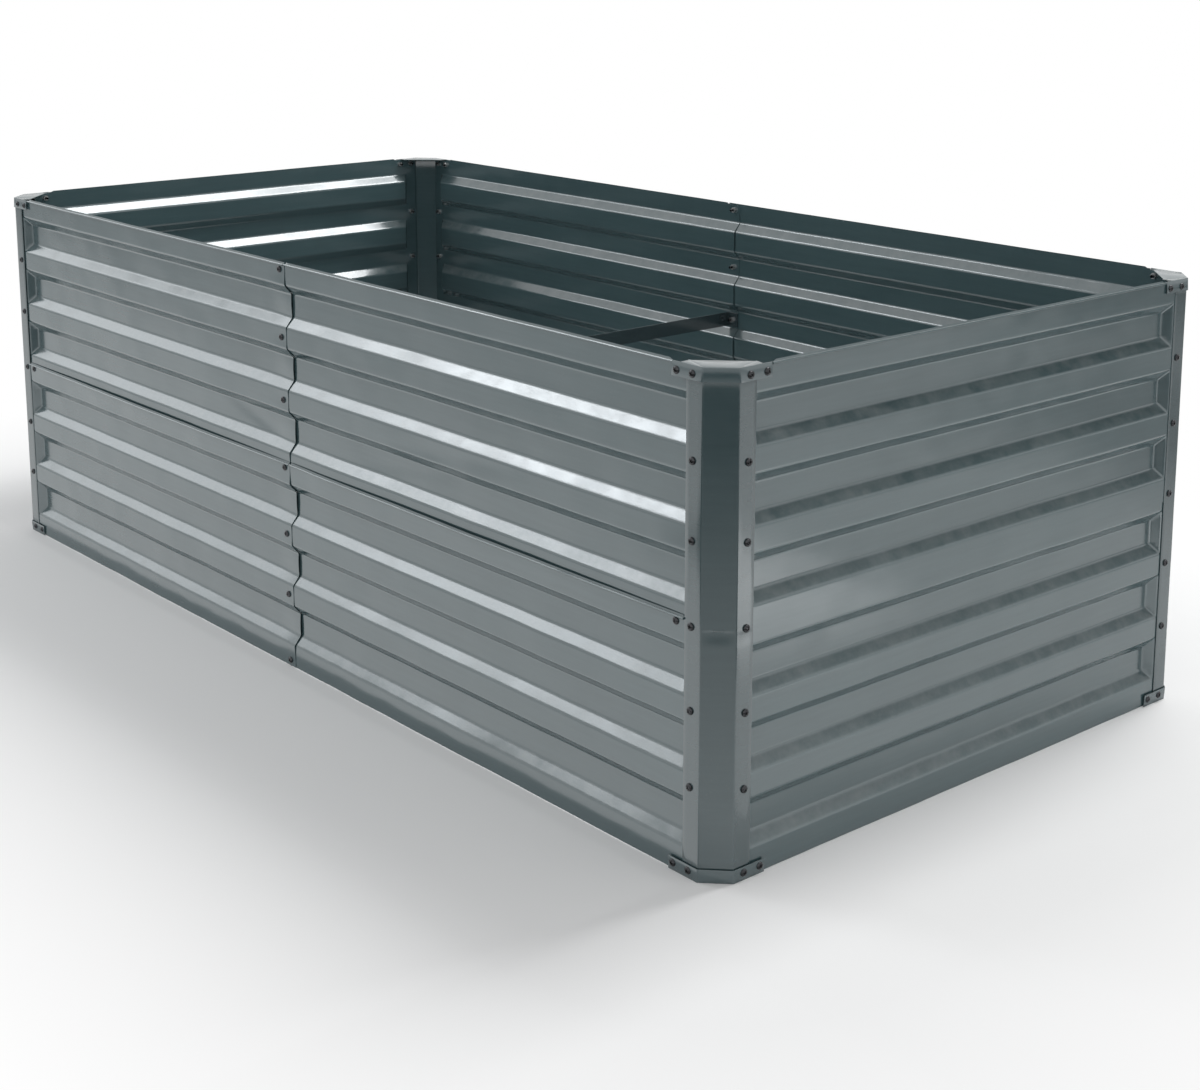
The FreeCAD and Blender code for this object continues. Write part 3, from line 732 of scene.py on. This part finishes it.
class GARDENBED_OT_panels(bpy.types.Operator):
    """Presses the twelve ribbed panels and hangs them on the four walls"""
    bl_idname = "garden_bed.panels"
    bl_label = "Build the panels"

    def execute(self, context):
        look = context.scene.garden_bed_panels
        coat = context.scene.garden_bed_coating
        material = coated_steel("Panel Coating", coat.panel_colour, coat.panel_index, coat)
        waves = cloud("sheet_waves", 150 * MM)
        ripples = cloud("sheet_ripples", 52 * MM)
        seam = BED_LENGTH / 2
        nest = look.gauge * 0.26
        spans = {
            "left": (look.end_gap, seam + look.seam_overlap, ("left",), 0.0),
            "right": (seam - look.seam_overlap, BED_LENGTH - look.end_gap, ("right",), nest),
            "end": (look.end_gap, BED_WIDTH - look.end_gap, ("left", "right"), 0.0),
        }
        blanks = {side: ribbed_blank(f"blank_{side}", left, right, closed, look, widen)
                  for side, (left, right, closed, widen) in spans.items()}
        for wall in WALLS:
            sides = ("left", "right") if wall in ("front", "back") else ("end",)
            for row, base in ROW_BASE.items():
                for side in sides:
                    layer = len(sides) * (row == "upper") + (side == "right")
                    if side == "end":
                        layer = 1 - layer
                    node = f"{wall}_panel_{row}" + ("" if side == "end" else f"_{side}")
                    self.hang(node, blanks[side], wall, row, side, layer, spans[side],
                              look, (waves, ripples), material)
        discard(*blanks.values())
        return {"FINISHED"}

    def hang(self, node, blank, wall, row, side, layer, span, look, textures, material):
        panel = copy_of(blank, f"{node}_sheet")
        left, right = span[:2]
        length = BED_WIDTH if side == "end" else BED_LENGTH
        top = look.height - 1.0 * MM
        margin = look.rib_start if row == "lower" else CAP_END
        rim = {"left": (margin, right + 1), "right": (length / 2 + SEAM_CLEAR, length - margin),
               "end": (margin, length - margin)}[side]
        roll_rim(panel, *rim, top, outwards=side != "end" or row == "upper")
        fixings = (length / 2 if side == "right" else FLANGE_SCREWS,
                   length / 2 if side == "left" else length - FLANGE_SCREWS)

        def slack(point):
            ends = min(point.x - fixings[0], fixings[1] - point.x)
            return ramp(ends, 12 * MM, 110 * MM)

        def bow(point):
            reach = (point.x - fixings[0]) / (fixings[1] - fixings[0])
            arch = math.sin(math.pi * min(max(reach, 0.0), 1.0))
            return max(arch, 0.0) ** 0.8 * ramp(point.z, top - 34 * MM, top)

        panel.matrix_world = Matrix.Translation(
            (0, look.first_layer + layer * look.gauge, ROW_BASE[row]))
        if row == "lower" and side != "end":
            press(panel, "bow", -look.lap_bow, bow, direction="Y")
        if side == "left":
            self.gape(panel, right, ROW_BASE[row], look)
        for start, end, width, depth in KNOCKS.get(node, ()):
            self.knock(panel, start, end, width * MM, depth * MM, ROW_BASE[row])
        seat = wall_matrix(wall) @ panel.matrix_world
        # The waves come from each panel's own place in the bed, so no two are alike.
        shift = Vector((seat.translation.x, 3 * seat.translation.y, seat.translation.z))
        panel.matrix_world = Matrix.Translation(shift)
        settle(panel)
        unshift = -shift

        def slack_here(point):
            return slack(point + unshift)

        press(panel, "waves", look.waves, slack_here, direction="Y", texture=textures[0],
              level=0.5)
        press(panel, "ripples", look.waves * 0.3, slack_here, direction="Y",
              texture=textures[1], level=0.5)
        thicken(panel, look.gauge)
        panel.matrix_world = seat @ Matrix.Translation(unshift)
        settle(panel)
        finish_piece(panel, node, material)

    @staticmethod
    def gape(panel, edge, base, look):
        """Lifts the free edge over the seam between each screw and the next."""
        screws = [z - base for z in SCREW_LEVELS]

        def lift(point):
            below = max((z for z in screws if z <= point.z), default=None)
            above = min((z for z in screws if z > point.z), default=None)
            if below is None or above is None:
                return 0.0
            arch = math.sin(math.pi * (point.z - below) / (above - below))
            return arch ** 2 * ramp(point.x, edge - 60 * MM, edge)

        press(panel, "gape", -look.seam_gape, lift, direction="Y")

    @staticmethod
    def knock(panel, start, end, width, depth, base):
        """Presses a long shallow knock into the panel along a line."""
        first = Vector((start[0] * MM, start[1] * MM - base))
        run = Vector((end[0] * MM, end[1] * MM - base)) - first

        def weigh(point):
            here = Vector((point.x, point.z)) - first
            share = min(max(here.dot(run) / run.length_squared, 0.0), 1.0)
            gap = (here - share * run).length / width
            return math.exp(-gap * gap) * math.sin(math.pi * (0.1 + 0.8 * share))

        press(panel, "knock", depth, weigh, direction="Y")


# --- Posts -------------------------------------------------------------------------------

def folded_strip(name, fold_leg, depth, bottom, top):
    """The 45 degree face between two folds, in the corner's own place."""
    start, end = Vector((-fold_leg, depth, 0)), Vector((-depth, fold_leg, 0))
    width = (end - start).length
    strip = upright_plane(name, -width / 2, width / 2, bottom, top)
    centre = (start + end) / 2
    strip.matrix_world = Matrix.Translation(centre) @ Matrix.Rotation(math.radians(45), 4, "Z")
    settle(strip)
    return strip


def extrude(kind, test, move):
    """In edit mode, extrudes the parts that pass the test by move."""
    pick(kind, test)
    bpy.ops.mesh.extrude_region_move(TRANSFORM_OT_translate={"value": move})


def extrude_arms(fold_leg, reach):
    """In edit mode, extrudes both sides of the 45 degree face along the walls."""
    extrude("EDGE", lambda e: all(near(v.co.x, -fold_leg) for v in e.verts), (-reach, 0, 0))
    extrude("EDGE", lambda e: all(near(v.co.y, fold_leg) for v in e.verts), (0, reach, 0))


class GARDENBED_OT_posts(bpy.types.Operator):
    """Folds the four corner posts"""
    bl_idname = "garden_bed.posts"
    bl_label = "Build the corner posts"

    def execute(self, context):
        look = context.scene.garden_bed_posts
        coat = context.scene.garden_bed_coating
        # The post colour carries painted shade for the chamfer as well as the coating's own darker
        # tone.
        material = coated_steel("Post Coating", coat.post_colour_and_shade, coat.post_index, coat)
        low, high = 1 * MM, BED_HEIGHT - 1 * MM
        blank = folded_strip("post_blank", look.fold_leg, look.depth, low, high)
        half = look.fold_leg / 2
        with editing(blank):
            extrude_arms(look.fold_leg, look.flange_leg - look.fold_leg)
            pick("EDGE", lambda e: not e.is_boundary and e.calc_face_angle(0) > FLAT)
            bpy.ops.mesh.bevel(offset=look.fold_radius, offset_type="OFFSET", segments=5,
                               profile=0.5, affect="EDGES")
            # Upright cuts across the 45 degree face, from its middle to each side.
            for share in (0, -0.25, -0.5, -0.75, -0.93, 0.25, 0.5, 0.75, 0.93):
                pick_all()
                bpy.ops.mesh.bisect(plane_co=(half * (share - 1), half * (share + 1), 0),
                                    plane_no=(1, 1, 0))
            legs = steps(look.fold_leg + 2 * MM, look.flange_leg, 6 * MM)
            cut(0, [-leg for leg in legs])
            cut(1, legs)
            cut(2, steps(low, high, 24 * MM) + steps(282 * MM, 312 * MM, 1.5 * MM))
        waves = cloud("post_waves", 90 * MM)
        for corner in CORNERS:
            post = copy_of(blank, f"corner_post_{corner}_sheet")
            if corner == "front_right":
                self.dent(post, look)
            post.matrix_world = corner_matrix(corner)
            settle(post)
            press(post, "waves", 0.5 * MM, lambda p: 1.0, texture=waves, level=0.5)
            thicken(post, look.gauge, softened=0.22 * MM)
            finish_piece(post, f"corner_post_{corner}", material)
        discard(blank)
        return {"FINISHED"}

    def dent(self, post, look):
        """Two shallow dents where the wall's rows meet, sharp above and easing out below."""
        def chamfer_dent(point):
            across = abs(point.x + point.y) / look.fold_leg
            below = 306 * MM - point.z
            return (1 - ramp(across, 0.55, 0.95)) * ramp(below, 0, 1.5 * MM) \
                * (1 - ramp(below, 3 * MM, 20 * MM)) * (across < 1)

        press(post, "dent", -look.dent, chamfer_dent)

        def flange_dent(point):
            if point.x < -look.depth - 0.1 * MM or point.y < look.fold_leg + 2 * MM:
                return 0.0
            below = 305 * MM - point.z
            return ramp(point.y, look.fold_leg + 2 * MM, look.fold_leg + 9 * MM) \
                * (1 - ramp(point.y, look.flange_leg - 7 * MM, look.flange_leg)) \
                * ramp(below, 0, 5 * MM) * (1 - ramp(below, 8 * MM, 22 * MM))

        press(post, "dent", -look.dent * 0.6, flange_dent)


# --- Caps and feet -----------------------------------------------------------------------

def bracket_blank(look):
    """A cap in the corner's own place: a folded skirt with a plate turned in across its top."""
    top, low = BED_HEIGHT, BED_HEIGHT - look.height
    cap = folded_strip("cap_blank", look.fold_leg, 0, low, top)
    slit = look.gauge + 0.6 * MM
    with editing(cap):
        extrude_arms(look.fold_leg, look.arm_leg - look.fold_leg)
        # The plate: a strip turned in from the 45 degree face, then filled out to the arms.
        extrude("EDGE", lambda e: all(near(v.co.z, top) for v in e.verts)
                and near(middle(e).x + look.fold_leg / 2, 0),
                (-4 * MM, 4 * MM, 0))
        mesh = bmesh.from_edit_mesh(cap.data)
        inner = sorted((v for v in mesh.verts if v.select), key=lambda v: v.co.x)
        inner[0].co = Vector((-look.plate_leg, look.plate_depth, top))
        inner[1].co = Vector((-look.plate_depth, look.plate_leg, top))
        bmesh.update_edit_mesh(cap.data)
        for x, y in ((-look.plate_leg, look.plate_depth), (-look.plate_depth, look.plate_leg)):
            along_x = x == -look.plate_leg
            move = (0, slit - y, 0) if along_x else (-slit - x, 0, 0)
            pick("VERT", lambda v: near(v.co.x, x) and near(v.co.y, y))
            bpy.ops.mesh.extrude_vertices_move(TRANSFORM_OT_translate={"value": move})
            back = (look.plate_leg - look.fold_leg - 1 * MM) * (1 if along_x else -1)
            bpy.ops.mesh.extrude_vertices_move(
                TRANSFORM_OT_translate={"value": (back, 0, 0) if along_x else (0, back, 0)})
            fold = (-look.fold_leg, 0) if along_x else (0, look.fold_leg)
            ends = [(x, y), (x, y + move[1]) if along_x else (x + move[0], y), fold]
            pick("VERT", lambda v: near(v.co.z, top) and (
                any(near(v.co.x, a) and near(v.co.y, b) for a, b in ends)
                or (near(v.co.y, slit) and along_x and v.co.x < -look.fold_leg)
                or (near(v.co.x, -slit) and not along_x and v.co.y > look.fold_leg)))
            bpy.ops.mesh.edge_face_add()
        pick_all()
        bpy.ops.mesh.normals_make_consistent(inside=False)
        pick("EDGE", lambda e: not e.is_boundary and e.calc_face_angle(0) > FLAT)
        bpy.ops.mesh.bevel(offset=1.1 * MM, offset_type="OFFSET", segments=4, profile=0.5,
                           affect="EDGES", clamp_overlap=False)
        cut(0, [-leg for leg in steps(look.fold_leg + 3 * MM, look.arm_leg, 8 * MM)])
        cut(1, steps(look.fold_leg + 3 * MM, look.arm_leg, 8 * MM))
    return cap


class GARDENBED_OT_brackets(bpy.types.Operator):
    """Folds the four corner caps and the four corner feet"""
    bl_idname = "garden_bed.brackets"
    bl_label = "Build the caps and feet"

    def execute(self, context):
        look = context.scene.garden_bed_brackets
        coat = context.scene.garden_bed_coating
        material = coated_steel("Bracket Coating", coat.bracket_colour, coat.post_index, coat)
        blank = bracket_blank(look)
        free = BED_HEIGHT - look.height
        press(blank, "flare", look.flare, lambda p: near(p.z, free, 1 * MM))
        for corner in CORNERS:
            for kind in ("cap", "foot"):
                bracket = copy_of(blank, f"corner_{kind}_{corner}_sheet")
                if kind == "foot":
                    # Turned over about the corner's own diagonal.
                    flip = Matrix(((0, -1, 0, 0), (-1, 0, 0, 0), (0, 0, -1, BED_HEIGHT),
                                   (0, 0, 0, 1)))
                    bracket.matrix_world = corner_matrix(corner) @ flip
                else:
                    bracket.matrix_world = corner_matrix(corner)
                settle(bracket)
                thicken(bracket, look.gauge, softened=0.2 * MM)
                finish_piece(bracket, f"corner_{kind}_{corner}", material)
        discard(blank)
        return {"FINISHED"}


# --- Screws, nuts and braces -------------------------------------------------------------

def screw_blank(look):
    """A pan-head screw that faces -Y, the underside of its head at y 0."""
    focus()
    bpy.ops.mesh.primitive_circle_add(vertices=20, radius=look.head_radius, fill_type="NGON",
                                      rotation=(math.pi / 2, 0, 0))
    head = bpy.context.object
    head.name = head.data.name = "screw_blank"
    settle(head)
    crown = look.head_height - look.head_rim
    with editing(head):
        pick_all()
        bpy.ops.mesh.extrude_region_move(TRANSFORM_OT_translate={"value": (0, -look.head_rim, 0)})
        # The crown rises in rings that follow a quarter of an ellipse.
        turns = [math.radians(a) for a in (0, 28, 54, 76)]
        for turn, following in zip(turns, turns[1:]):
            rise = crown * (math.sin(following) - math.sin(turn))
            scale = math.cos(following) / math.cos(turn)
            bpy.ops.mesh.extrude_region_move(TRANSFORM_OT_translate={"value": (0, -rise, 0)})
            bpy.ops.transform.resize(value=(scale, 1, scale))
        pick_all()
        bpy.ops.mesh.normals_make_consistent(inside=False)
    for turn in (0, 90):
        focus()
        bpy.ops.mesh.primitive_cube_add(size=1)
        slot = bpy.context.object
        slot.matrix_world = (
            Matrix.Rotation(math.radians(turn), 4, "Y")
            @ Matrix.Translation((0, -look.head_height, 0))
            @ Matrix.Diagonal((look.head_radius * 0.24, look.head_height * 0.9,
                               look.head_radius * 1.05, 1)))
        settle(slot)
        modify(head, "BOOLEAN", operation="DIFFERENCE", object=slot, solver="EXACT")
        discard(slot)
    focus()
    bpy.ops.mesh.primitive_cylinder_add(
        vertices=12, radius=look.shank_radius, depth=look.shank_length + 0.4 * MM,
        location=(0, look.shank_length / 2 - 0.2 * MM, 0), rotation=(math.pi / 2, 0, 0))
    shank = bpy.context.object
    settle(shank)
    with editing(shank):
        pick("EDGE", lambda e: all(near(v.co.y, look.shank_length, 0.1 * MM) for v in e.verts))
        bpy.ops.mesh.bevel(offset=0.5 * MM, offset_type="OFFSET", segments=1, affect="EDGES")
    focus(shank, head)
    bpy.ops.object.join()
    return head


def corner_seats(look):
    """(distance along the wall from the corner, depth of the head's seat, level)."""
    levels = SCREW_LEVELS
    seats = [(look.inner_leg, 0.0 if z in (levels[0], levels[-1]) else 1.0 * MM, z)
             for z in levels]
    return seats + [(look.outer_leg, 0.0, levels[0]), (look.outer_leg, 0.0, levels[-1])]


class GARDENBED_OT_hardware(bpy.types.Operator):
    """Sets the screws, and finishes the nuts and the cross braces"""
    bl_idname = "garden_bed.hardware"
    bl_label = "Build the screws"

    def execute(self, context):
        look = context.scene.garden_bed_hardware
        coat = context.scene.garden_bed_coating
        nickel = plated_metal("Dark Nickel", tuple(look.nickel), (0.040, 0.041, 0.044), 0.07, 0.06)
        zinc = plated_metal("Bright Zinc", tuple(look.zinc), (0.38, 0.38, 0.37), 0.28, 0.2)
        braces = coated_steel("Brace Coating", coat.brace_colour, coat.post_index, coat)
        blank = screw_blank(look)
        dice = random.Random(7)
        for corner, (before, after) in CORNERS.items():
            lap_depth = {before: self.lap_depth(before, "right"),
                         after: self.lap_depth(after, "left")}
            seats = []
            for wall, sign in ((before, -1), (after, 1)):
                length = BED_LENGTH if wall in ("front", "back") else BED_WIDTH
                laps = [(look.outer_leg, lap_depth[wall], LAP_LEVEL)]
                for leg, depth, level in corner_seats(look) + (
                        laps if wall in ("front", "back") else []):
                    along = leg if sign > 0 else length - leg
                    seats.append(wall_matrix(wall, along, depth, level))
            self.set_screws(f"corner_bolts_{corner}", blank, seats, dice, nickel)
        for wall in ("front", "back"):
            seats = [wall_matrix(wall, BED_LENGTH / 2, (1.8 if z < 0.32 else 3.0) * MM, z)
                     for z in SCREW_LEVELS]
            self.set_screws(f"seam_bolts_{wall}", blank, seats, dice, nickel)
        discard(blank)
        for name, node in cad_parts.items():
            if "_nuts_" in name:
                paint(node, zinc)
            elif name.startswith("cross_brace"):
                paint(node, braces)
        return {"FINISHED"}

    @staticmethod
    def lap_depth(wall, end):
        right_long = wall in ("front", "back") and end == "right"
        return (2.4 if right_long else 1.8) * MM

    @staticmethod
    def set_screws(node, blank, seats, dice, material):
        screws = []
        for index, seat in enumerate(seats):
            screw = copy_of(blank, f"{node}_{index}")
            screw.matrix_world = seat @ Matrix.Rotation(dice.uniform(0, math.tau), 4, "Y")
            screws.append(screw)
        focus(*screws)
        bpy.ops.object.join()
        group = bpy.context.object
        group.name = group.data.name = f"{node}_heads"
        settle(group)
        finish_piece(group, node, material, angle=40)


# --- Panel in the sidebar, and the build -------------------------------------------------

class GARDENBED_PT_sidebar(bpy.types.Panel):
    """The bed's parts, in building order"""
    bl_idname = "GARDENBED_PT_sidebar"
    bl_label = "Raised Garden Bed"
    bl_space_type = "VIEW_3D"
    bl_region_type = "UI"
    bl_category = "Garden Bed"

    def draw(self, context):
        for operator in BUILD_ORDER:
            self.layout.operator(operator.bl_idname)
        for key in SETTINGS:
            group = getattr(context.scene, key)
            box = self.layout.box()
            box.label(text=key.replace("garden_bed_", "").title())
            for name in group.bl_rna.properties.keys():
                if name not in ("name", "rna_type"):
                    box.prop(group, name)


BUILD_ORDER = (GARDENBED_OT_stage, GARDENBED_OT_panels, GARDENBED_OT_posts,
               GARDENBED_OT_brackets, GARDENBED_OT_hardware)
SETTINGS = {
    "garden_bed_coating": CoatingSettings,
    "garden_bed_panels": PanelSettings,
    "garden_bed_posts": PostSettings,
    "garden_bed_brackets": BracketSettings,
    "garden_bed_hardware": HardwareSettings,
    "garden_bed_stage": StageSettings,
}


def register():
    for cls in (*SETTINGS.values(), *BUILD_ORDER, GARDENBED_PT_sidebar):
        bpy.utils.register_class(cls)
    for key, cls in SETTINGS.items():
        setattr(bpy.types.Scene, key, bpy.props.PointerProperty(type=cls))


def unregister():
    for key in SETTINGS:
        delattr(bpy.types.Scene, key)
    for cls in reversed((*SETTINGS.values(), *BUILD_ORDER, GARDENBED_PT_sidebar)):
        bpy.utils.unregister_class(cls)


def main():
    register()
    rolled_sheet_group()
    bpy.ops.garden_bed.stage()
    bpy.ops.garden_bed.panels()
    bpy.ops.garden_bed.posts()
    bpy.ops.garden_bed.brackets()
    bpy.ops.garden_bed.hardware()


if __name__ == "__main__":
    main()
